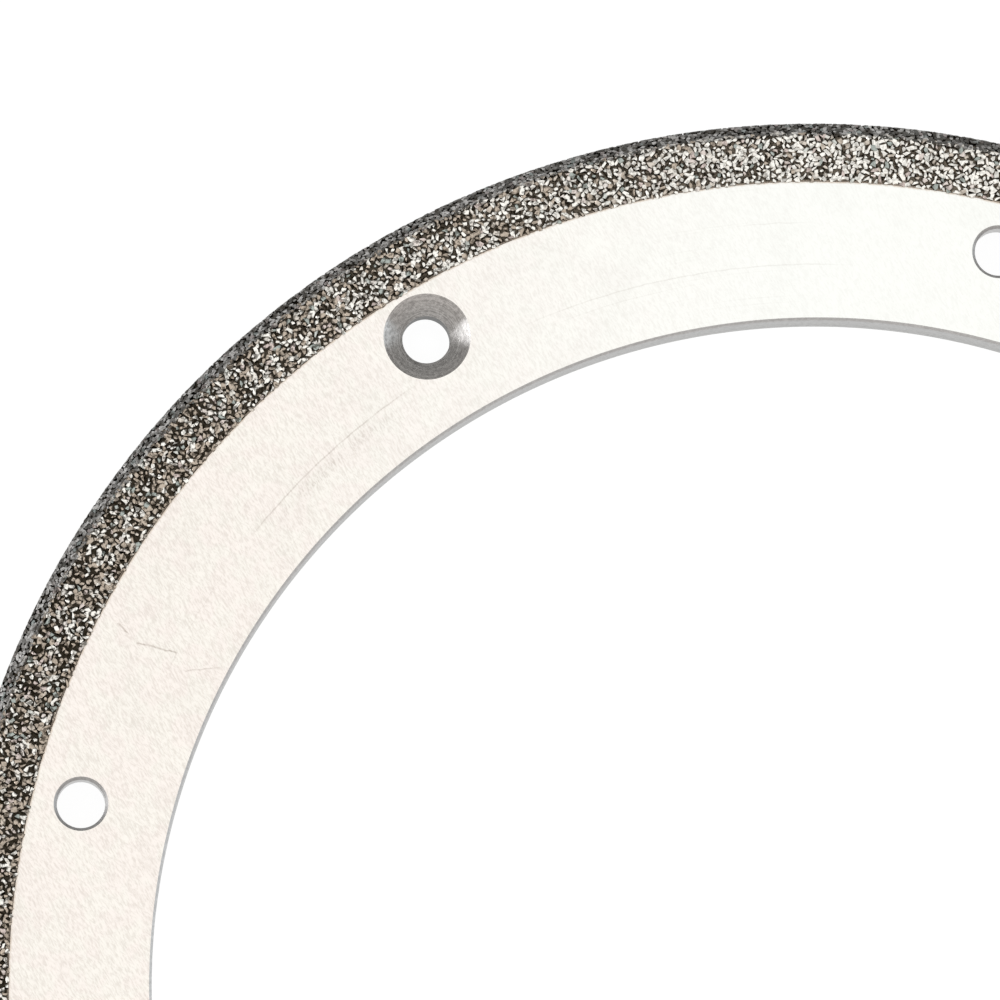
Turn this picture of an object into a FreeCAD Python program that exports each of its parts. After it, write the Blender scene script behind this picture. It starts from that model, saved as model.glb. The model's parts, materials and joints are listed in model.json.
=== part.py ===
import FreeCAD, Part
import math
import os

# A flat ring-shaped grinding wheel, plated with CBN (cubic boron nitride) grit.
# The turned and ground steel ring is one solid.  The plated abrasive is a second solid,
# a thin coat wrapped round the ring's rim: both faces, both bevels and the outside.
# Millimetres.  The origin is the centre of the bore, midway between the ground faces.
# +Z is the axis the wheel spins about, towards the face that is seen.

# Across the ring, from the bore outwards.  The outside diameter comes to 200.
bore_diameter = 153.4
bore_land = 5.55
countersink_diameter = 10.0
rim_land = 0.6
abrasive_width = 7.15

# Through the ring.
ring_thickness = 5.0
bore_edge_bevel = 0.3

# The plated coat: its own thickness, how far it stands above the ground face,
# and the 45 degree bevel between the coat's flat and its outside.
abrasive_thickness = 0.5
abrasive_stand = 0.2
rim_bevel = 1.6

# Screw holes, evenly spaced.  Every other one is countersunk from the front face,
# and the ones between from the back, so that the wheel can be mounted either way round.
hole_count = 8
hole_diameter = 5.5
countersink_angle = 90.0
hole_edge_bevel = 0.35

# Cutters run this far past a face, so that no cut ends level with it.
cutter_overrun = 1.0

# Radii and heights that follow from the sizes above.
bore_radius = bore_diameter / 2
countersink_radius = countersink_diameter / 2
hole_radius = hole_diameter / 2
pitch_radius = bore_radius + bore_land + countersink_radius
abrasive_inner_radius = pitch_radius + countersink_radius + rim_land
outer_radius = abrasive_inner_radius + abrasive_width
face_height = ring_thickness / 2
abrasive_height = face_height + abrasive_stand
seat_height = abrasive_height - abrasive_thickness
seat_radius = outer_radius - abrasive_thickness

# The bevel under the coat runs parallel to the one outside it, so its leg is shorter.
seat_bevel = rim_bevel - abrasive_thickness * (2 - math.sqrt(2))

spin_axis = FreeCAD.Vector(0, 0, 1)
centre = FreeCAD.Vector(0, 0, 0)


def revolved(section):
    # Turns a closed (radius, height) section into a solid about the spin axis.
    corners = [FreeCAD.Vector(radius, 0, height) for radius, height in section]
    wire = Part.makePolygon(corners + corners[:1])
    return Part.Face(wire).revolve(centre, spin_axis, 360)


def coated_rim():
    # The rim's own outline under the coat, from the front face round to the back.
    return [
        (abrasive_inner_radius, seat_height),
        (seat_radius - seat_bevel, seat_height),
        (seat_radius, seat_height - seat_bevel),
        (seat_radius, seat_bevel - seat_height),
        (seat_radius - seat_bevel, -seat_height),
        (abrasive_inner_radius, -seat_height),
    ]


def coat_outside():
    # The coat's outer outline, from the back face round to the front.
    return [
        (abrasive_inner_radius, -abrasive_height),
        (outer_radius - rim_bevel, -abrasive_height),
        (outer_radius, rim_bevel - abrasive_height),
        (outer_radius, abrasive_height - rim_bevel),
        (outer_radius - rim_bevel, abrasive_height),
        (abrasive_inner_radius, abrasive_height),
    ]


def turned_blank():
    # The steel ring before drilling: bevelled bore, ground faces and a stepped-down rim.
    bore_edge_radius = bore_radius + bore_edge_bevel
    bore_edge_height = face_height - bore_edge_bevel
    section = [
        (bore_radius, -bore_edge_height),
        (bore_radius, bore_edge_height),
        (bore_edge_radius, face_height),
        (abrasive_inner_radius, face_height),
    ]
    section += coated_rim()
    section += [
        (abrasive_inner_radius, -face_height),
        (bore_edge_radius, -face_height),
    ]
    return revolved(section)


def screw_hole_cutter():
    # A hole countersunk from the front, with its far edge broken, standing on the spin axis.
    half_angle = math.radians(countersink_angle / 2)
    sink_depth = (countersink_radius - hole_radius) / math.tan(half_angle)
    overrun_radius = countersink_radius + cutter_overrun * math.tan(half_angle)
    edge_radius = hole_radius + hole_edge_bevel + cutter_overrun
    top = face_height + cutter_overrun
    section = [
        (0, top),
        (overrun_radius, top),
        (hole_radius, face_height - sink_depth),
        (hole_radius, hole_edge_bevel - face_height),
        (edge_radius, -top),
        (0, -top),
    ]
    return revolved(section)


def placed_hole_cutter(index):
    # Even holes are countersunk from the front.  Odd ones are turned over end for end.
    cutter = screw_hole_cutter()
    if index % 2:
        cutter.rotate(centre, FreeCAD.Vector(1, 0, 0), 180)
    cutter.translate(FreeCAD.Vector(pitch_radius, 0, 0))
    cutter.rotate(centre, spin_axis, index * 360 / hole_count)
    return cutter


def steel_ring():
    ring = turned_blank()
    for index in range(hole_count):
        ring = ring.cut(placed_hole_cutter(index))
    return ring


def cbn_layer():
    return revolved(coated_rim() + coat_outside())


nodes = {
    "steel_ring": steel_ring,
    "cbn_layer": cbn_layer,
}

os.makedirs("parts", exist_ok=True)
for name, make in nodes.items():
    solid = make()
    solid.exportStep(f"parts/{name}.step")
    print(name, "valid", solid.isValid(), "volume", round(solid.Volume, 1))
print("outside diameter", 2 * outer_radius, "pitch circle", 2 * pitch_radius)
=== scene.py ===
import json
import math
import bmesh
import bpy
import numpy as np
from mathutils import Matrix, Vector

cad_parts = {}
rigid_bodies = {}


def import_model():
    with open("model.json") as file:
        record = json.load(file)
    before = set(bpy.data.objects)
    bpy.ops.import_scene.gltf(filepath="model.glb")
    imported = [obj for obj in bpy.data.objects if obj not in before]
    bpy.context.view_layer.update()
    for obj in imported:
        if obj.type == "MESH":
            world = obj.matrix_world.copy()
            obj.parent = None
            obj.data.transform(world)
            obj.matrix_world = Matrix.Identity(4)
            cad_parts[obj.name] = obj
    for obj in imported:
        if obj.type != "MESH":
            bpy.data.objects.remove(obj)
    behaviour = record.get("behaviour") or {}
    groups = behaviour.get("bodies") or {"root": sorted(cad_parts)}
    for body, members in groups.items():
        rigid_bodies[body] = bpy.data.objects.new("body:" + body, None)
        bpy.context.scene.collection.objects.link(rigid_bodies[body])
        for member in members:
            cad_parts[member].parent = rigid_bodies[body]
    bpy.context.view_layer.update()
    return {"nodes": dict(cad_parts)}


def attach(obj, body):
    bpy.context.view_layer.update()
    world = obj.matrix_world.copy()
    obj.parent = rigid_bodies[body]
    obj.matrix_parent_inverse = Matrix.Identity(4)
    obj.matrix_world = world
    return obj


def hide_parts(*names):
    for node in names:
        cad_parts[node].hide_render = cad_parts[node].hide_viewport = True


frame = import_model()
print("frame loaded, nodes:", ", ".join(sorted(frame["nodes"])))

mm = 0.001
scene = bpy.context.scene


# Small helpers for meshes and node trees.

def showObject(name, mesh):
    thing = bpy.data.objects.new(name, mesh)
    scene.collection.objects.link(thing)
    return thing


def meshData(name, mesh):
    data = bpy.data.meshes.new(name)
    mesh.to_mesh(data)
    mesh.free()
    return data


def readAll(items, name, width=1, kind=np.float32):
    # One property of every item, as an array.
    values = np.zeros(len(items) * width, kind)
    items.foreach_get(name, values)
    return values.reshape(-1, width) if width > 1 else values


def circle(radius, count, centre=(0, 0), start=0.0):
    turns = [start + 2 * math.pi * step / count for step in range(count)]
    return [(centre[0] + radius * math.cos(turn), centre[1] + radius * math.sin(turn)) for turn in turns]


def loopAt(mesh, places, height):
    return [mesh.verts.new((x * mm, y * mm, height * mm)) for x, y in places]


def mirrored(half):
    # The upper half of a profile, as (radius, height), followed by its lower half.
    return half + [(radius, -height) for radius, height in reversed(half)]


def addNode(tree, kind, inputs=None, **settings):
    # Adds one node. An input's value is either a plain value or another node's output.
    node = tree.nodes.new(kind)
    for name, value in settings.items():
        setattr(node, name, value)
    for socket, value in (inputs or {}).items():
        if isinstance(value, bpy.types.NodeSocket):
            tree.links.new(value, node.inputs[socket])
        else:
            node.inputs[socket].default_value = value
    return node


def calc(tree, operation, first, second=0.0, third=0.0):
    inputs = {0: first, 1: second, 2: third}
    return addNode(tree, "ShaderNodeMath", inputs, operation=operation).outputs[0]


def vectorCalc(tree, operation, first, second=(0, 0, 0)):
    node = addNode(tree, "ShaderNodeVectorMath", {0: first, 1: second}, operation=operation)
    return node.outputs["Value" if operation in ("LENGTH", "DOT_PRODUCT") else "Vector"]


def spread(tree, value, low, high, outLow=0.0, outHigh=1.0):
    # A clamped, smooth step from one range to another.
    inputs = {0: value, 1: low, 2: high, 3: outLow, 4: outHigh}
    return addNode(tree, "ShaderNodeMapRange", inputs, interpolation_type="SMOOTHSTEP").outputs[0]


def blendColour(tree, factor, first, second, mode="MIX"):
    inputs = {0: factor, 6: first, 7: second}
    return addNode(tree, "ShaderNodeMix", inputs, data_type="RGBA", blend_type=mode).outputs[2]


def flattened(tree, place):
    return vectorCalc(tree, "MULTIPLY", place, (1, 1, 0))


def fromAxis(tree, place):
    # The distance from the axis that the place is measured from.
    return vectorCalc(tree, "LENGTH", flattened(tree, place))


def noiseValue(tree, vector, scale, detail=2.0, roughness=0.5):
    inputs = {"Vector": vector, "Scale": scale, "Detail": detail, "Roughness": roughness}
    return addNode(tree, "ShaderNodeTexNoise", inputs).outputs[0]


def objectPlace(tree, turn=0.0, stretch=(1, 1, 1)):
    # Object coordinates in millimetres, turned about the spin axis and stretched.
    place = addNode(tree, "ShaderNodeTexCoord").outputs["Object"]
    turned = addNode(tree, "ShaderNodeMapping", {"Vector": place, "Rotation": (0, 0, math.radians(turn))})
    scaled = {"Vector": turned.outputs[0], "Scale": tuple(1000 * s for s in stretch)}
    return addNode(tree, "ShaderNodeMapping", scaled).outputs[0]


def newMaterial(name):
    material = bpy.data.materials.new(name)
    material.use_nodes = True
    tree = material.node_tree
    shader = tree.nodes["Principled BSDF"]
    return material, tree, shader


def metalFinish(tree, shader, colour, rough):
    shader.inputs["Metallic"].default_value = 1.0
    tree.links.new(colour, shader.inputs["Base Color"])
    tree.links.new(rough, shader.inputs["Roughness"])


def bumpInto(tree, shader, height, strength, distance):
    inputs = {"Height": height, "Strength": strength, "Distance": distance * mm}
    bump = addNode(tree, "ShaderNodeBump", inputs)
    tree.links.new(bump.outputs[0], shader.inputs["Normal"])


# The camera, at the photograph's angle.

cameraView = {
    "place": (-111.697, -21.406, 906.594),  # millimetres
    "turn": -31.529,  # how far the picture is turned about the spin axis, degrees
    "yaw": 2.9293,
    "pitch": 8.3157,
    "lens": 288.0,
    "sensor": 36.0,
    "clip": (0.01, 20.0),  # metres
}

pictureLeft = (-0.852, 0.523, 0)  # the way across the wheel that is left in the picture, along which the materials paint shade and light


def makeCamera(view):
    data = bpy.data.cameras.new("studio_camera")
    data.lens = view["lens"]
    data.sensor_width = view["sensor"]
    data.clip_start, data.clip_end = view["clip"]
    yaw, pitch = math.radians(view["yaw"]), math.radians(view["pitch"])
    look = Vector((math.sin(yaw), math.sin(pitch) * math.cos(yaw), -math.cos(pitch) * math.cos(yaw)))
    right = look.cross(Vector((0, 1, 0))).normalized()
    up = right.cross(look)
    turned = Matrix.Rotation(math.radians(view["turn"]), 3, "Z") @ Matrix((right, up, -look)).transposed()
    camera = bpy.data.objects.new("studio_camera", data)
    scene.collection.objects.link(camera)
    camera.matrix_world = Matrix.Translation(Vector(view["place"]) * mm) @ turned.to_4x4()
    scene.camera = camera


makeCamera(cameraView)
print("camera set")


# The steel ring and its finishes.

steelRing = {  # millimetres, with the sizes as in the part's source
    "boreRadius": 76.7,
    "boreEdge": 0.3,
    "faceRadius": 92.85,
    "faceHeight": 2.5,
    "holeCount": 8,
    "pitchRadius": 87.25,
    "sinkRadius": 5.0,
    "holeRadius": 2.75,
    "holeEdge": 0.35,
    "seatHeight": 2.2,
    "seatRadius": 99.5,
    "seatBevel": 1.307,
    "arcSteps": 45,  # steps in half of one sector's arc
    "sideSteps": 16,
    "webRings": 3,  # rings of faces between a hole and its sector's edge
    "sharpAngle": 20.0,  # degrees, past which an edge is shaded sharp
    "mergeDistance": 0.002,
    "ground": {
        "bright": (0.985, 0.992, 0.962, 1),
        # Painted shade: the two yellower colours below are laid on towards the picture's left.
        "warm": (0.978, 0.914, 0.864, 1),
        "cool": (0.975, 0.934, 0.874, 1),
        "warmReach": (-4, 76),  # millimetres towards the picture's left, where the painted shade starts and is full
        "strokeAngle": 91.5,  # the short grinding strokes run across the wheel, not round it
        "strokeScale": (1.55, 6.2, 1),
        "crossingTurn": -24,  # a second set of strokes, from the first
        "crossingScale": (1.30, 6.8, 1),
        "strokeDepth": 0.20,
        "roughness": 0.36,
        "ringScale": (3.4, 3.0),  # outwards and round, of the faint rings
        "edgeStain": (0.64, 0.53, 0.43, 1),  # a thin line left along the edge of the plating
        "stainReach": (0.27, 0.01),  # millimetres short of the plating, where it starts and is full
        "markTone": (0.27, 0.20, 0.15, 1),
        "markWave": (0.6, 0.6, 0),  # how far the marks wander from a true line
        "markStray": 0.35,  # how much of that wave a turning mark follows
        "markFade": (2, 3),  # degrees outside and inside a turning mark's ends, over which it fades
        "turningMarks": [  # radius, half width, from and to in degrees about the spin axis, depth
            (83.20, 0.12, 57, 82, 0.14),
            (83.20, 0.15, 93.5, 110, 0.27),
            (82.00, 0.09, 69, 81, 0.08),
            (88.10, 0.11, 60, 64.5, 0.14),
        ],
        "smear": (82.00, 1.10, 96, 107, 0.17),
        "scratches": [  # from and to in millimetres on the front face, half width, depth
            ((-46.68, 74.15), (-43.53, 70.84), 0.18, 0.42),
            ((-43.64, 68.45), (-40.29, 66.86), 0.13, 0.26),
            ((-47.52, 77.16), (-47.06, 75.72), 0.20, 0.42),
            ((-43.65, 70.71), (-45.14, 69.67), 0.15, 0.18),
            ((-34.49, 75.71), (-41.13, 72.34), 0.10, 0.08),
        ],
    },
    "turned": {  # lines are tool marks to the millimetre, roughly
        "bore": {
            "light": (0.48, 0.48, 0.475, 1), "dark": (0.345, 0.345, 0.34, 1),
            "roughness": 0.42, "lines": 9.0,
        },
        "sink": {
            "light": (0.68, 0.665, 0.65, 1), "dark": (0.37, 0.36, 0.35, 1),
            "roughness": 0.26, "lines": 7.0, "acrossGrooves": 0.9,
        },
        "hole": {
            "light": (0.56, 0.555, 0.55, 1), "dark": (0.42, 0.415, 0.41, 1),
            "roughness": 0.36, "lines": 7.0,
        },
        "edge": {
            "light": (0.61, 0.605, 0.60, 1), "dark": (0.48, 0.475, 0.47, 1),
            "roughness": 0.50, "lines": 3.0,
        },
        "throat": {  # the short wall under a countersink, whose near-black colour is painted shade
            "light": (0.10, 0.098, 0.095, 1), "dark": (0.05, 0.049, 0.047, 1),
            "roughness": 0.42, "lines": 7.0,
        },
    },
}


def arcMark(tree, radius, degrees, mark, fade):
    # A line round the spin axis that fades at both ends.
    ring, half, start, end, depth = mark
    off = calc(tree, "ABSOLUTE", calc(tree, "SUBTRACT", radius, ring))
    line = spread(tree, off, half, 0.0, 0.0, depth)
    outside, inside = fade
    rise = spread(tree, degrees, start - outside, start + inside)
    fall = spread(tree, degrees, end + outside, end - inside)
    return calc(tree, "MULTIPLY", line, calc(tree, "MULTIPLY", rise, fall))


def scratchMark(tree, place, mark):
    # A straight scratch between two places on the face.
    start, end, half, depth = mark
    run = (end[0] - start[0], end[1] - start[1], 0)
    away = vectorCalc(tree, "SUBTRACT", flattened(tree, place), (start[0], start[1], 0))
    share = vectorCalc(tree, "DOT_PRODUCT", away, tuple(v / (run[0] ** 2 + run[1] ** 2) for v in run))
    held = addNode(tree, "ShaderNodeMath", {0: share, 1: 1.0}, operation="MULTIPLY", use_clamp=True)
    nearest = addNode(tree, "ShaderNodeVectorMath", {0: run, "Scale": held.outputs[0]}, operation="SCALE")
    off = vectorCalc(tree, "LENGTH", vectorCalc(tree, "SUBTRACT", away, nearest.outputs[0]))
    return spread(tree, off, half, 0.0, 0.0, depth)


def groundSteel(look, coatEdge):
    material, tree, shader = newMaterial("satin_ground_steel")
    plain = objectPlace(tree)
    across = objectPlace(tree, look["strokeAngle"], look["strokeScale"])
    crossing = objectPlace(tree, look["strokeAngle"] + look["crossingTurn"], look["crossingScale"])
    strokes = spread(tree, noiseValue(tree, across, 1.0, 3.0, 0.6), 0.42, 0.66)
    fine = spread(tree, noiseValue(tree, crossing, 1.0, 2.0, 0.5), 0.52, 0.74)
    cloud = noiseValue(tree, plain, 0.16, 3.0, 0.55)
    tint = noiseValue(tree, plain, 0.33, 2.0, 0.5)

    # Faint rings, left by the turning before the face was ground.
    split = addNode(tree, "ShaderNodeSeparateXYZ", {0: plain})
    radius = fromAxis(tree, plain)
    angle = calc(tree, "ARCTAN2", split.outputs[1], split.outputs[0])
    outwards, around = look["ringScale"]
    unrolled = {0: calc(tree, "MULTIPLY", radius, outwards), 1: calc(tree, "MULTIPLY", angle, around)}
    ringPlace = addNode(tree, "ShaderNodeCombineXYZ", unrolled)
    rings = spread(tree, noiseValue(tree, ringPlace.outputs[0], 1.0, 3.0, 0.6), 0.57, 0.72)
    ringPatch = spread(tree, noiseValue(tree, plain, 0.045, 1.0), 0.50, 0.62)

    # Painted shade: towards the picture's left the face turns darker and yellower, and its strokes are
    # darkened more.
    sideways = vectorCalc(tree, "DOT_PRODUCT", plain, pictureLeft)
    paintedWarmShade = spread(tree, sideways, *look["warmReach"])
    shadedCast = blendColour(tree, spread(tree, tint, 0.42, 0.58), look["warm"], look["cool"])
    colour = blendColour(tree, paintedWarmShade, look["bright"], shadedCast)
    strokeTone = calc(tree, "MULTIPLY", calc(tree, "MULTIPLY_ADD", paintedWarmShade, 0.75, 0.25), look["strokeDepth"])
    darkness = calc(tree, "MULTIPLY", calc(tree, "MAXIMUM", strokes, fine), strokeTone)
    darkness = calc(tree, "MULTIPLY_ADD", spread(tree, cloud, 0.45, 0.75), 0.03, darkness)
    darkness = calc(tree, "MULTIPLY_ADD", calc(tree, "MULTIPLY", rings, ringPatch), 0.06, darkness)

    # Scratches and turning marks of the front face, broken up so that none is an even line.
    wave = addNode(tree, "ShaderNodeTexNoise", {"Vector": plain, "Scale": 0.7, "Detail": 2.0}).outputs[1]
    wave = vectorCalc(tree, "MULTIPLY", vectorCalc(tree, "SUBTRACT", wave, (0.5, 0.5, 0.5)), look["markWave"])
    wavy = vectorCalc(tree, "ADD", plain, wave)
    drift = calc(tree, "SUBTRACT", fromAxis(tree, wavy), radius)
    ringRadius = calc(tree, "MULTIPLY_ADD", drift, look["markStray"], radius)
    degrees = calc(tree, "MULTIPLY", angle, 180 / math.pi)
    broken = spread(tree, noiseValue(tree, plain, 0.9, 3.0, 0.6), 0.30, 0.56, 0.45, 1.0)
    hatched = calc(tree, "MULTIPLY_ADD", strokes, 0.75, 0.25)
    fade = look["markFade"]
    marked = calc(tree, "MULTIPLY", arcMark(tree, radius, degrees, look["smear"], fade), hatched)
    for mark in look["turningMarks"]:
        marked = calc(tree, "MAXIMUM", marked, arcMark(tree, ringRadius, degrees, mark, fade))
    for mark in look["scratches"]:
        marked = calc(tree, "MAXIMUM", marked, scratchMark(tree, wavy, mark))
    front = spread(tree, split.outputs[2], 0.0, 1.0)
    darkness = calc(tree, "MULTIPLY_ADD", calc(tree, "MULTIPLY", marked, broken), front, darkness)
    colour = blendColour(tree, darkness, colour, look["markTone"])
    uneven = spread(tree, noiseValue(tree, plain, 1.3, 2.0, 0.6), 0.34, 0.60)
    starts, full = look["stainReach"]
    beside = spread(tree, radius, coatEdge - starts, coatEdge - full)
    stain = calc(tree, "MULTIPLY", beside, calc(tree, "MULTIPLY_ADD", uneven, 0.65, 0.2))
    colour = blendColour(tree, stain, colour, look["edgeStain"])
    metalFinish(tree, shader, colour, calc(tree, "MULTIPLY_ADD", strokes, 0.08, look["roughness"]))
    bumpInto(tree, shader, calc(tree, "ADD", strokes, fine), 0.12, 0.01)
    return material


def turnedSteel(name, look):
    # Tool marks run round the cutter's own axis, which the attribute toolOffset gives in metres.
    material, tree, shader = newMaterial(name)
    offset = addNode(tree, "ShaderNodeAttribute", attribute_name="toolOffset").outputs["Vector"]
    place = vectorCalc(tree, "MULTIPLY", offset, (1000, 1000, 1000))
    split = addNode(tree, "ShaderNodeSeparateXYZ", {0: place})
    radius = fromAxis(tree, place)
    angle = calc(tree, "ARCTAN2", split.outputs[1], split.outputs[0])
    depth = calc(tree, "ADD", radius, split.outputs[2])
    along = calc(tree, "MULTIPLY", depth, look["lines"])
    wrap = {0: along, 1: calc(tree, "COSINE", angle), 2: calc(tree, "SINE", angle)}
    wrapped = addNode(tree, "ShaderNodeCombineXYZ", wrap)
    lines = noiseValue(tree, wrapped.outputs[0], 0.7, 3.0, 0.6)
    mottle = noiseValue(tree, place, 2.4, 3.0, 0.6)
    mixed = calc(tree, "MULTIPLY_ADD", mottle, 0.5, calc(tree, "MULTIPLY", lines, 0.5))
    tone = spread(tree, mixed, 0.36, 0.62)
    colour = blendColour(tree, tone, look["dark"], look["light"])
    metalFinish(tree, shader, colour, calc(tree, "MULTIPLY_ADD", lines, 0.12, look["roughness"] - 0.06))
    bumpInto(tree, shader, lines, 0.25, 0.02)
    if "acrossGrooves" in look:
        # Fine grooves spread a reflection across themselves, not along.
        tree.links.new(flattened(tree, place), shader.inputs["Tangent"])
        shader.inputs["Anisotropic"].default_value = look["acrossGrooves"]
    return material


ringFinishes = ["ground", "bore", "sink", "hole", "edge", "throat"]  # the order of the ring's materials


def bridge(mesh, first, second, finish, tool, toolLayer):
    # A closed strip of quads between two loops of the same count, in one of ringFinishes.
    for step in range(len(first)):
        following = (step + 1) % len(first)
        face = mesh.faces.new((first[step], first[following], second[following], second[step]))
        face.material_index = ringFinishes.index(finish)
        face[toolLayer] = tool
        face.smooth = True


def sectorEdge(size, inner, outer):
    # Walks round one sector of the face, from the middle of its outer arc.
    half = math.pi / size["holeCount"]
    arc, side = size["arcSteps"], size["sideSteps"]
    points = [(outer, half * i / arc) for i in range(arc)]
    points += [(outer + (inner - outer) * i / side, half) for i in range(side)]
    points += [(inner, half - half * i / arc) for i in range(2 * arc)]
    points += [(inner + (outer - inner) * i / side, -half) for i in range(side)]
    points += [(outer, -half + half * i / arc) for i in range(arc)]
    return points


def groundFace(mesh, size, height, toolLayer, holes):
    inner = size["boreRadius"] + size["boreEdge"]
    edge = sectorEdge(size, inner, size["faceRadius"])
    for index, (centre, radius) in enumerate(holes):
        middle = 2 * math.pi * index / size["holeCount"]
        outline = [(r * math.cos(middle + a), r * math.sin(middle + a)) for r, a in edge]
        pairs = list(zip(circle(radius, len(edge), centre, middle), outline))
        loops = []
        for web in range(size["webRings"] + 1):
            share = web / size["webRings"]
            places = [(x + (farX - x) * share, y + (farY - y) * share) for (x, y), (farX, farY) in pairs]
            loops.append(loopAt(mesh, places, height))
        for first, second in zip(loops, loops[1:]):
            bridge(mesh, first, second, "ground", 0, toolLayer)


def makeRing(size):
    mesh = bmesh.new()
    toolLayer = mesh.faces.layers.int.new("tool")
    height = size["faceHeight"]
    holeCount = size["holeCount"]
    centres = circle(size["pitchRadius"], holeCount)

    # Even holes are countersunk from the front, and odd ones from the back.
    edgeRadius = size["holeRadius"] + size["holeEdge"]
    sinkDepth = size["sinkRadius"] - size["holeRadius"]
    frontRims = [size["sinkRadius"] if index % 2 == 0 else edgeRadius for index in range(holeCount)]
    backRims = frontRims[1:] + frontRims[:1]
    groundFace(mesh, size, height, toolLayer, list(zip(centres, frontRims)))
    groundFace(mesh, size, -height, toolLayer, list(zip(centres, backRims)))
    rimCount = 4 * size["arcSteps"] + 2 * size["sideSteps"]
    for index, centre in enumerate(centres):
        side = 1 if index % 2 == 0 else -1
        profile = [
            (size["sinkRadius"], height, "sink"),
            (size["holeRadius"], height - sinkDepth, "throat" if side > 0 else "hole"),
            (size["holeRadius"], size["holeEdge"] - height, "edge"),
            (edgeRadius, -height, None),
        ]
        turn = 2 * math.pi * index / holeCount
        loops = [
            loopAt(mesh, circle(radius, rimCount, centre, turn), side * level)
            for radius, level, _ in profile
        ]
        for (first, second), (_, _, finish) in zip(zip(loops, loops[1:]), profile):
            bridge(mesh, first, second, finish, index + 1, toolLayer)

    # The bore, then the rim that the coat is plated on.
    boreEdge = size["boreRadius"] + size["boreEdge"]
    boreHeight = height - size["boreEdge"]
    seatFlat = size["seatRadius"] - size["seatBevel"]
    seatDrop = size["seatHeight"] - size["seatBevel"]
    bore = mirrored([(boreEdge, height), (size["boreRadius"], boreHeight)])
    rim = mirrored([
        (size["faceRadius"], height),
        (size["faceRadius"], size["seatHeight"]),
        (seatFlat, size["seatHeight"]),
        (size["seatRadius"], seatDrop),
    ])
    around = 2 * size["arcSteps"] * holeCount
    for profile, finishes in ((bore, ("edge", "bore", "edge")), (rim, ("bore",) * 7)):
        loops = [loopAt(mesh, circle(radius, around), level) for radius, level in profile]
        for first, second, finish in zip(loops, loops[1:], finishes):
            bridge(mesh, first, second, finish, 0, toolLayer)

    bmesh.ops.remove_doubles(mesh, verts=mesh.verts, dist=size["mergeDistance"] * mm)
    bmesh.ops.recalc_face_normals(mesh, faces=mesh.faces)
    sharp = math.radians(size["sharpAngle"])
    for edge in mesh.edges:
        if len(edge.link_faces) == 2 and edge.calc_face_angle() > sharp:
            edge.smooth = False
    openEdges = sum(len(edge.link_faces) != 2 for edge in mesh.edges)
    data = meshData("ground_ring", mesh)
    addToolOffset(data, centres)
    print("ring made:", len(data.polygons), "faces, open edges", openEdges)
    return showObject("ground_ring", data)


def addToolOffset(data, centres):
    # Each corner's place from the axis of the tool that cut its face.
    tools = readAll(data.attributes["tool"].data, "value", kind=np.int32)
    corners = readAll(data.loops, "vertex_index", kind=np.int32)
    sides = readAll(data.polygons, "loop_total", kind=np.int32)
    axes = np.array([(0, 0)] + centres) * mm
    offset = readAll(data.vertices, "co", 3)[corners].astype(np.float64)
    offset[:, :2] -= axes[np.repeat(tools, sides)]
    layer = data.attributes.new("toolOffset", "FLOAT_VECTOR", "CORNER")
    layer.data.foreach_set("vector", offset.astype(np.float32).ravel())
    data.attributes.remove(data.attributes["tool"])


ring = makeRing(steelRing)
for finish in (
    groundSteel(steelRing["ground"], steelRing["faceRadius"]),
    turnedSteel("turned_bore_steel", steelRing["turned"]["bore"]),
    turnedSteel("countersunk_steel", steelRing["turned"]["sink"]),
    turnedSteel("drilled_steel", steelRing["turned"]["hole"]),
    turnedSteel("bevelled_steel", steelRing["turned"]["edge"]),
    turnedSteel("throat_steel", steelRing["turned"]["throat"]),
):
    ring.data.materials.append(finish)
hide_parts("steel_ring")
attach(ring, "root")


# The nickel plate that holds the grit.

nickelBed = {  # millimetres
    "innerRadius": steelRing["faceRadius"],
    "outerRadius": 100.0,  # this, the height and the bevel are the whole coat's, to the crystals' tops
    "height": 2.7,
    "bevel": 1.6,
    "sunk": 0.30,  # how far the plate lies below that
    "around": 1440,
    "step": 0.38,
    "lumps": 0.07,
    "lumpLimit": 0.12,
    "smoothings": 2,
    "seed": 11,
    "clean": (0.19, 0.16, 0.125, 1),
    "grimy": (0.012, 0.009, 0.006, 1),
    "shaded": (0.018, 0.014, 0.008, 1),  # painted shade, on the side that is left in the picture
    "shadeReach": (-20, 95),  # millimetres towards the picture's left
    "shadeMost": 0.82,
    "edge": (0.68, 0.57, 0.47, 1),  # a tan line where the plate starts
    "edgeReach": (0.23, 0.10),  # millimetres past the plate's start, where the line ends and is full
    "roughness": 0.38,
}


def cutUp(points, step):
    # The same outline with its long runs cut into short ones.
    fine = [points[0]]
    for first, second in zip(points, points[1:]):
        count = max(1, round(math.dist(first, second) / step))
        for i in range(1, count + 1):
            fine.append(tuple(a + (b - a) * i / count for a, b in zip(first, second)))
    return fine


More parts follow.
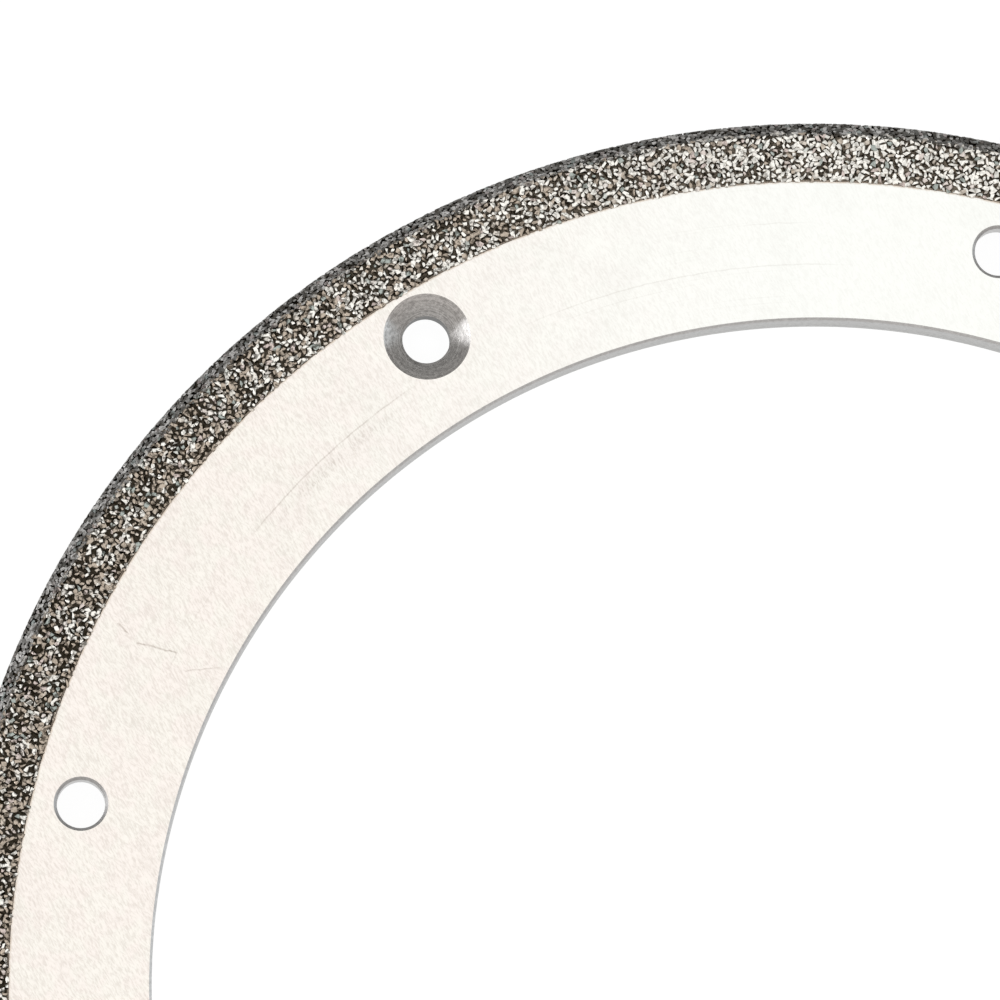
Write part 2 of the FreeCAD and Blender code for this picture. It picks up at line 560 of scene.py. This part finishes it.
def makeBed(size, steel):
    sunk = size["sunk"]
    level = size["height"] - sunk
    bevelSum = size["outerRadius"] + size["height"] - size["bevel"] - sunk * math.sqrt(2)
    outer = size["outerRadius"] - sunk
    half = [(size["innerRadius"], level), (bevelSum - level, level), (outer, bevelSum - outer)]
    outline = cutUp(mirrored(half), size["step"])
    seatRadius, seatHeight, seatBevel = (steel[name] for name in ("seatRadius", "seatHeight", "seatBevel"))
    seat = mirrored([
        (size["innerRadius"], seatHeight),
        (seatRadius - seatBevel, seatHeight),
        (seatRadius, seatHeight - seatBevel),
    ])
    profile = np.array(outline + seat[::-1])
    around, count = size["around"], len(profile)
    random = np.random.default_rng(size["seed"])
    lumps = random.normal(0, 1, (around, count))
    for _ in range(size["smoothings"]):
        lumps = (lumps + np.roll(lumps, 1, 0) + np.roll(lumps, -1, 0)) / 3
        lumps[:, 1:-1] = (lumps[:, :-2] + lumps[:, 1:-1] + lumps[:, 2:]) / 3
    lumps *= size["lumps"] / lumps.std()
    lumps = np.clip(lumps, -size["lumpLimit"], size["lumpLimit"])
    lumps[:, 0] = 0
    lumps[:, len(outline) - 1:] = 0
    normals = np.zeros((count, 2))
    tangents = np.gradient(profile[:len(outline)], axis=0)
    tangents /= np.linalg.norm(tangents, axis=1)[:, None]
    normals[:len(outline)] = np.stack([-tangents[:, 1], tangents[:, 0]], axis=1)
    normals[:len(outline)] *= -1 if normals[2, 1] < 0 else 1
    turn = (2 * math.pi * np.arange(around) / around)[:, None]
    radius = profile[None, :, 0] + lumps * normals[None, :, 0]
    height = profile[None, :, 1] + lumps * normals[None, :, 1]
    places = np.stack([radius * np.cos(turn), radius * np.sin(turn), height], axis=2).reshape(-1, 3) * mm
    row = np.arange(around)[:, None] * count
    nextRow = ((np.arange(around) + 1) % around)[:, None] * count
    here = np.arange(count)[None, :]
    after = (here + 1) % count
    quads = np.stack([row + here, nextRow + here, nextRow + after, row + after], axis=2).reshape(-1, 4)
    data = bpy.data.meshes.new("nickel_bed")
    data.from_pydata(places.tolist(), [], quads.tolist())
    mesh = bmesh.new()
    mesh.from_mesh(data)
    bmesh.ops.recalc_face_normals(mesh, faces=mesh.faces)
    for face in mesh.faces:
        face.smooth = True
    mesh.to_mesh(data)
    mesh.free()
    print("nickel bed made:", len(data.polygons), "faces")
    return showObject("nickel_bed", data)


def nickelPlate(look):
    material, tree, shader = newMaterial("nickel_plate")
    place = objectPlace(tree)
    grime = spread(tree, noiseValue(tree, place, 3.0, 3.0, 0.6), 0.38, 0.62)
    colour = blendColour(tree, grime, look["grimy"], look["clean"])
    # Painted shade: the plate is darker towards the picture's left.
    sideways = vectorCalc(tree, "DOT_PRODUCT", place, pictureLeft)
    shade = spread(tree, sideways, *look["shadeReach"], 0.0, look["shadeMost"])
    colour = blendColour(tree, shade, colour, look["shaded"])
    radius = fromAxis(tree, place)
    ends, full = (look["innerRadius"] + reach for reach in look["edgeReach"])
    beside = calc(tree, "MULTIPLY", spread(tree, radius, ends, full), 0.9)
    colour = blendColour(tree, beside, colour, look["edge"])
    metalFinish(tree, shader, colour, calc(tree, "MULTIPLY_ADD", grime, 0.2, look["roughness"]))
    bumpInto(tree, shader, noiseValue(tree, place, 4.0, 3.0, 0.6), 0.5, 0.06)
    return material


bed = makeBed(nickelBed, steelRing)
bed.data.materials.append(nickelPlate(nickelBed))
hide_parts("cbn_layer")
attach(bed, "root")


# The crystals.

gritCoat = {  # millimetres, and tilt in degrees
    "open": {  # on the flats
        "spacing": 0.49, "low": (0.25, 0.20, 0.22), "high": (0.60, 0.42, 0.42),
        "tilt": 19.0, "sunk": 0.20,
        "top": (1.0, 0.975, 0.915, 1), "topDim": (0.54, 0.46, 0.38, 1),
        "side": (0.46, 0.39, 0.31, 1), "sideDark": (0.07, 0.056, 0.036, 1),
        "green": (0.42, 0.46, 0.43, 1), "pink": (0.66, 0.56, 0.52, 1),
        "roughness": 0.16, "patches": 0.30, "chipped": 0.78,
        # the last amount on the next line darkens the crystals towards the picture's left as painted shade
        "dimFrom": 0.80, "dimTo": 1.06, "leftPaintedShading": 0.50,
    },
    "worn": {  # on the bevels and the rim
        "spacing": 0.44, "low": (0.30, 0.26, 0.26), "high": (0.46, 0.38, 0.34),
        "tilt": 14.0, "sunk": 0.09,
        "top": (0.60, 0.59, 0.575, 1), "topDim": (0.10, 0.097, 0.09, 1),
        "side": (0.22, 0.21, 0.195, 1), "sideDark": (0.07, 0.065, 0.055, 1),
        "green": (0.30, 0.33, 0.32, 1), "pink": (0.33, 0.29, 0.28, 1),
        "roughness": 0.34, "patches": 0.75, "chipped": 0.55,
        # the last amount on the next line, below nought, brightens the crystals towards the picture's left as
        # painted light
        "dimFrom": 0.05, "dimTo": 0.80, "leftPaintedShading": -0.34,
    },
    "density": 60.0,  # points tried per square millimetre, before the spacing thins them
    "topGap": 0.03,  # how far the highest crystals stay inside the coat's outline
    "topSpread": 0.03,  # how far the crystals' cut tops differ in height
    "edgeOverlap": 0.12,  # how far the crystals may reach over the ground face
    "edgeRaggedness": 0.10,
    "flatStart": 0.12,  # where the bands begin and end, from the coat's corners
    "flatEnd": 0.18,
    "bevelInset": 0.05,
    "around": 720,
    "grain": {
        "kinds": 14,
        "flatTop": 0.60,  # where the crystal's top is cut flat, as a share of its half height
        "jitter": 0.24,
        "mergeAngle": 9.0,  # degrees, under which two facets become one
        "seed": 5,
    },
    "tones": {  # each reach is in millimetres towards the picture's left
        "paintedDimReach": (-20, 100),
        "shaded": (0.02, 0.015, 0.008, 1),  # painted shade on a crystal's side, on the side that is left in the picture
        "shadeReach": (-20, 95),
        "shadeMost": 0.62,
        "chip": (0.03, 0.023, 0.014, 1),  # dark flecks, and more of them towards the left as painted shade
        "chipPaintedReach": (-40, 80),
        "chipLeast": 0.22,
        "patch": (0.05, 0.042, 0.032, 1),  # crystals that are dull together
    },
}


def gritBands(grit, coat):
    # Name, profile from and to as (radius, height), seed and finish of each band of crystals.
    outer, height = coat["outerRadius"], coat["height"]
    inset = grit["bevelInset"]
    flatStart = coat["innerRadius"] + grit["flatStart"]
    corner, rimTop = outer - coat["bevel"], height - coat["bevel"]
    flat = [(flatStart, height), (corner + grit["flatEnd"], height)]
    bevel = [(corner + inset, height - inset), (outer - inset, rimTop + inset)]
    return [
        ("grit_front", *flat, 101, "open"),
        ("grit_front_bevel", *bevel, 102, "worn"),
        ("grit_rim", *mirrored([(outer, rimTop - inset)]), 103, "worn"),
        ("grit_back_bevel", *mirrored(bevel)[2:], 104, "worn"),
        ("grit_back", *mirrored(flat)[2:], 105, "open"),
    ]


def makeGrains(shape):
    # Blunt crystals of unit half width: the corners of a cuboctahedron, shifted and cut flat on top.
    random = np.random.default_rng(shape["seed"])
    corners = np.array([c for c in np.ndindex(3, 3, 3) if sum(v == 1 for v in c) == 1], float) - 1
    grains = bpy.data.collections.new("grains")
    for kind in range(shape["kinds"]):
        points = corners + random.normal(0, shape["jitter"], corners.shape)
        points[:, 2] = np.minimum(points[:, 2], shape["flatTop"])
        points /= np.abs(points[:, :2]).max()
        mesh = bmesh.new()
        for point in points:
            mesh.verts.new(point)
        hull = bmesh.ops.convex_hull(mesh, input=mesh.verts)
        loose = [v for v in hull["geom_interior"] + hull["geom_unused"] if isinstance(v, bmesh.types.BMVert)]
        bmesh.ops.delete(mesh, geom=list(set(loose)), context="VERTS")
        merge = math.radians(shape["mergeAngle"])
        bmesh.ops.dissolve_limit(mesh, angle_limit=merge, verts=mesh.verts, edges=mesh.edges)
        bmesh.ops.triangulate(mesh, faces=mesh.faces)
        bmesh.ops.recalc_face_normals(mesh, faces=mesh.faces)
        name = f"grain_{kind}"
        grains.objects.link(bpy.data.objects.new(name, meshData(name, mesh)))
    return grains


def scatterTree():
    # Scatters crystals on a surface, each turned at random and tipped a little.
    tree = bpy.data.node_groups.new("scatter_crystals", "GeometryNodeTree")
    sockets = {}
    for name, kind in (
        ("Surface", "NodeSocketGeometry"),
        ("Grains", "NodeSocketCollection"),
        ("Spacing", "NodeSocketFloat"),
        ("Density", "NodeSocketFloat"),
        ("Smallest", "NodeSocketVector"),
        ("Largest", "NodeSocketVector"),
        ("Tilt", "NodeSocketFloat"),
        ("Seed", "NodeSocketInt"),
        ("Finish", "NodeSocketMaterial"),
    ):
        sockets[name] = tree.interface.new_socket(name, in_out="INPUT", socket_type=kind).identifier
    tree.interface.new_socket("Crystals", in_out="OUTPUT", socket_type="NodeSocketGeometry")
    given = tree.nodes.new("NodeGroupInput").outputs
    points = addNode(tree, "GeometryNodeDistributePointsOnFaces", {
        "Mesh": given["Surface"], "Distance Min": given["Spacing"],
        "Density Max": given["Density"], "Seed": given["Seed"],
    }, distribute_method="POISSON")

    def randomVector(low, high, shift):
        node = addNode(tree, "FunctionNodeRandomValue", {0: low, 1: high}, data_type="FLOAT_VECTOR")
        seed = addNode(tree, "ShaderNodeMath", {0: given["Seed"], 1: shift}, operation="ADD")
        tree.links.new(seed.outputs[0], node.inputs["Seed"])
        return node.outputs[0]

    # Two random tips multiplied leave most tops nearly level and a few well tipped.
    way = randomVector((-1, -1, 0), (1, 1, 1), 1)
    amount = randomVector((0.2, 0.2, 1), (1, 1, 1), 2)
    reach = addNode(tree, "ShaderNodeCombineXYZ", {0: given["Tilt"], 1: given["Tilt"], 2: 2 * math.pi})
    turn = vectorCalc(tree, "MULTIPLY", vectorCalc(tree, "MULTIPLY", way, amount), reach.outputs[0])
    turned = addNode(tree, "FunctionNodeEulerToRotation", {0: turn})
    facing = addNode(tree, "FunctionNodeRotateRotation", {
        0: points.outputs["Rotation"], 1: turned.outputs[0],
    }, rotation_space="LOCAL")
    kinds = addNode(tree, "GeometryNodeCollectionInfo", {
        "Collection": given["Grains"], "Separate Children": True, "Reset Children": True,
    })
    placed = addNode(tree, "GeometryNodeInstanceOnPoints", {
        "Points": points.outputs["Points"], "Instance": kinds.outputs[0], "Pick Instance": True,
        "Rotation": facing.outputs[0], "Scale": randomVector(given["Smallest"], given["Largest"], 3),
    })
    tone = addNode(tree, "FunctionNodeRandomValue", {"Seed": 77}, data_type="FLOAT")
    toned = addNode(tree, "GeometryNodeStoreNamedAttribute", {
        "Geometry": placed.outputs[0], "Name": "tone", "Value": tone.outputs[1],
    }, data_type="FLOAT", domain="INSTANCE")
    real = addNode(tree, "GeometryNodeRealizeInstances", {0: toned.outputs[0]})
    finished = addNode(tree, "GeometryNodeSetMaterial", {
        "Geometry": real.outputs[0], "Material": given["Finish"],
    })
    tree.links.new(finished.outputs[0], tree.nodes.new("NodeGroupOutput").inputs[0])
    return tree, sockets


def carrierSurface(start, end, sunk, around, middleRadius):
    # The band that the crystals' middles lie on, a little inside the coat's outline.
    start, end = np.array(start), np.array(end)
    along = (end - start) / np.linalg.norm(end - start)
    outward = np.array([-along[1], along[0]])
    outward *= 1 if outward @ np.array([start[0] - middleRadius, start[1]]) > 0 else -1
    ends = [point - outward * sunk for point in (start, end)]
    mesh = bmesh.new()
    loops = [loopAt(mesh, circle(radius, around), height) for radius, height in ends]
    for step in range(around):
        following = (step + 1) % around
        mesh.faces.new((loops[0][step], loops[0][following], loops[1][following], loops[1][step]))
    mesh.normal_update()
    face = mesh.faces[:][0]
    middle = face.calc_center_median()
    radial = Vector((middle.x, middle.y, 0)).normalized()
    if face.normal.dot(radial * outward[0] + Vector((0, 0, outward[1]))) < 0:
        bmesh.ops.reverse_faces(mesh, faces=mesh.faces)
    return meshData("carrier", mesh), outward


def keepInside(data, grit, coat):
    # Cuts the crystals back to the coat's outline, each a little short of it by its own amount.
    tones = readAll(data.attributes["tone"].data, "value")
    short = grit["topGap"] + grit["topSpread"] * (1 - tones)
    places = readAll(data.vertices, "co", 3).astype(np.float64) / mm
    radius = np.hypot(places[:, 0], places[:, 1])
    angle = np.arctan2(places[:, 1], places[:, 0])
    height = places[:, 2]
    # Waves of unlike lengths, so that the coat's inner edge never repeats to the eye.
    ragged = np.sin(angle * 211 + 3 * np.sin(angle * 37)) * np.sin(angle * 83)
    edge = coat["innerRadius"] - grit["edgeOverlap"] + grit["edgeRaggedness"] * ragged
    radius = np.maximum(radius, edge)
    radius = np.minimum(radius, coat["outerRadius"] - short)
    height = np.clip(height, short - coat["height"], coat["height"] - short)
    bevelSum = coat["outerRadius"] + coat["height"] - coat["bevel"] - 1.4 * short
    over = np.maximum(radius + np.abs(height) - bevelSum, 0) / 2
    radius -= over
    height -= np.sign(height) * over
    places = np.stack([radius * np.cos(angle), radius * np.sin(angle), height], axis=1) * mm
    data.vertices.foreach_set("co", places.astype(np.float32).ravel())
    data.update()


def facetPolishAndShade(data, outward):
    # How squarely each facet faces out of the coat, which sets how bright it is: worn tops stay bright, and
    # the sides are dull plating and painted shade.
    normals = readAll(data.polygons, "normal", 3)
    centres = readAll(data.polygons, "center", 3)
    turn = np.arctan2(centres[:, 1], centres[:, 0])
    radial = normals[:, 0] * np.cos(turn) + normals[:, 1] * np.sin(turn)
    facing = radial * outward[0] + normals[:, 2] * outward[1]
    layer = data.attributes.new("facing", "FLOAT", "FACE")
    layer.data.foreach_set("value", facing.astype(np.float32))


def crystalFinish(name, look, tones):
    material, tree, shader = newMaterial(name)
    tone = addNode(tree, "ShaderNodeAttribute", attribute_name="tone").outputs["Fac"]
    facing = addNode(tree, "ShaderNodeAttribute", attribute_name="facing").outputs["Fac"]
    place = objectPlace(tree)
    speck = noiseValue(tree, place, 3.2, 2.0, 0.6)
    polishAndShade = spread(tree, facing, 0.55, 0.86)
    # Painted shade and light: towards the picture's left more of the open crystals are dim, and fewer of the
    # worn ones.
    sideways = vectorCalc(tree, "DOT_PRODUCT", place, pictureLeft)
    paintedLeftMask = spread(tree, sideways, *tones["paintedDimReach"])
    toneAndPaintedShade = calc(tree, "MULTIPLY_ADD", paintedLeftMask, look["leftPaintedShading"], tone)
    top = blendColour(tree, spread(tree, toneAndPaintedShade, look["dimFrom"], look["dimTo"]), look["top"], look["topDim"])
    top = blendColour(tree, spread(tree, tone, 0.07, 0.03), top, look["green"])
    pinkish = calc(tree, "MULTIPLY", spread(tree, tone, 0.20, 0.12), spread(tree, tone, 0.09, 0.11))
    top = blendColour(tree, pinkish, top, look["pink"])
    side = blendColour(tree, spread(tree, speck, 0.40, 0.60), look["sideDark"], look["side"])
    # Painted shade: the crystals' sides are darker towards the picture's left.
    shade = spread(tree, sideways, *tones["shadeReach"], 0.0, tones["shadeMost"])
    side = blendColour(tree, shade, side, tones["shaded"])
    # The sides get darker colours than the tops, partly dull plating and partly painted shade.
    colour = blendColour(tree, polishAndShade, side, top)
    # Dark flecks on the crystals, with more of them towards the picture's left as painted shade.
    chips = spread(tree, noiseValue(tree, place, 2.3, 2.0, 0.55), 0.47, 0.60, 0.0, look["chipped"])
    chipPaintedShare = spread(tree, sideways, *tones["chipPaintedReach"], tones["chipLeast"], 1.0)
    chips = calc(tree, "MULTIPLY", chips, chipPaintedShare)
    colour = blendColour(tree, chips, colour, tones["chip"])

    # Patches of several crystals are duller together.
    patch = spread(tree, noiseValue(tree, place, 1.1, 2.0, 0.6), 0.48, 0.64, 0.0, look["patches"])
    colour = blendColour(tree, patch, colour, tones["patch"])
    metalFinish(tree, shader, colour, calc(tree, "MULTIPLY_ADD", speck, 0.16, look["roughness"]))
    bumpInto(tree, shader, noiseValue(tree, place, 6.0, 2.0, 0.6), 0.35, 0.03)
    return material


def growCrystals(grit, coat):
    grains = makeGrains(grit["grain"])
    tree, sockets = scatterTree()
    finishes = {name: crystalFinish(name + "_grit", grit[name], grit["tones"]) for name in ("open", "worn")}
    middleRadius = (coat["innerRadius"] + coat["outerRadius"]) / 2
    total = 0
    for name, start, end, seed, finish in gritBands(grit, coat):
        kind = grit[finish]
        surface, outward = carrierSurface(start, end, kind["sunk"], grit["around"], middleRadius)
        carrier = showObject("carrier", surface)
        scatter = carrier.modifiers.new("scatter", "NODES")
        scatter.node_group = tree
        values = {
            "Grains": grains, "Spacing": kind["spacing"] * mm, "Density": grit["density"] / mm ** 2,
            "Smallest": [v * mm for v in kind["low"]], "Largest": [v * mm for v in kind["high"]],
            "Tilt": math.radians(kind["tilt"]), "Seed": seed, "Finish": finishes[finish],
        }
        for socket, value in values.items():
            scatter[sockets[socket]] = value
        bpy.context.view_layer.update()
        grown = carrier.evaluated_get(bpy.context.evaluated_depsgraph_get())
        data = bpy.data.meshes.new_from_object(grown)
        carrier.modifiers.remove(scatter)
        bpy.data.objects.remove(carrier)
        data.name = name
        keepInside(data, grit, coat)
        facetPolishAndShade(data, outward)
        piece = showObject(name, data)
        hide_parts("cbn_layer")
        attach(piece, "root")
        total += len(data.polygons)
        print(name, "has", len(data.polygons), "facets")
    for grain in list(grains.objects):
        bpy.data.objects.remove(grain)
    bpy.data.collections.remove(grains)
    print("crystals grown, facets in all:", total)


growCrystals(gritCoat, nickelBed)


# Floor and light.

stageLook = {
    "floorRadius": 12.0,  # metres
    "floorHeight": -2.7,  # millimetres, where the coat's back flat rests
    "floorSegments": 96,
    "floorGlow": 0.92,
    "floorTone": 0.15,
    "floorBounce": 0.8,  # how much light the floor gives back to what stands on it
    "skyZenith": (1.055, 1.055, 1.045, 1),
    "skyNear": (0.64, 0.595, 0.565, 1),  # the horizon behind the camera's foot
    "skyFar": (0.15, 0.145, 0.14, 1),  # the horizon beyond the picture's top
    "farWay": 58.5,  # degrees about the spin axis
    "farSpread": (-0.5, 0.6),
    "sideLights": [  # direction in degrees, half width of the full part, half width in all, colour
        (147.5, 11.0, 25.0, (4.00, 4.00, 4.06, 1)),
        (-26.5, 9.0, 26.0, (1.60, 1.74, 1.84, 1)),
    ],
    "zenithStarts": 0.86,  # height of the direction, from 0 at the horizon to 1 overhead
    "horizonEnds": 0.12,
}


def makeFloor(look):
    mesh = bmesh.new()
    bmesh.ops.create_circle(mesh, cap_ends=True, segments=look["floorSegments"], radius=look["floorRadius"])
    bmesh.ops.translate(mesh, verts=mesh.verts, vec=(0, 0, look["floorHeight"] * mm))
    floor = showObject("studio_floor", meshData("studio_floor", mesh))
    material, tree, shader = newMaterial("pale_floor")
    tree.nodes.remove(shader)
    path = addNode(tree, "ShaderNodeLightPath")
    seen = calc(tree, "MAXIMUM", path.outputs["Is Camera Ray"], path.outputs["Is Glossy Ray"])
    seen = calc(tree, "MAXIMUM", seen, path.outputs["Is Transmission Ray"])
    matt = addNode(tree, "ShaderNodeBsdfDiffuse", {"Color": (look["floorBounce"],) * 3 + (1,)})
    dim = addNode(tree, "ShaderNodeBsdfDiffuse", {"Color": (look["floorTone"],) * 3 + (1,)})
    glow = addNode(tree, "ShaderNodeEmission", {"Color": (1, 1, 1, 1), "Strength": look["floorGlow"]})
    pale = addNode(tree, "ShaderNodeAddShader", {0: dim.outputs[0], 1: glow.outputs[0]})
    both = addNode(tree, "ShaderNodeMixShader", {0: seen, 1: matt.outputs[0], 2: pale.outputs[0]})
    tree.links.new(both.outputs[0], tree.nodes["Material Output"].inputs["Surface"])
    floor.data.materials.append(material)


def makeSky(look):
    world = bpy.data.worlds.new("studio_sky")
    world.use_nodes = True
    scene.world = world
    tree = world.node_tree
    way = addNode(tree, "ShaderNodeTexCoord").outputs["Generated"]
    height = addNode(tree, "ShaderNodeSeparateXYZ", {0: way}).outputs[2]
    lift = spread(tree, height, look["horizonEnds"], look["zenithStarts"])

    def towards(degrees):
        turn = math.radians(degrees)
        return vectorCalc(tree, "DOT_PRODUCT", way, (math.cos(turn), math.sin(turn), 0.0))

    farShare = spread(tree, towards(look["farWay"]), *look["farSpread"])
    colour = blendColour(tree, farShare, look["skyNear"], look["skyFar"])
    for degrees, full, fade, tint in look["sideLights"]:
        edge, core = math.cos(math.radians(fade)), math.cos(math.radians(full))
        colour = blendColour(tree, spread(tree, towards(degrees), edge, core), colour, tint)
    colour = blendColour(tree, lift, colour, look["skyZenith"])
    tree.links.new(colour, tree.nodes["Background"].inputs["Color"])


makeFloor(stageLook)
makeSky(stageLook)
scene.view_settings.view_transform = "Standard"
print("floor and light set")
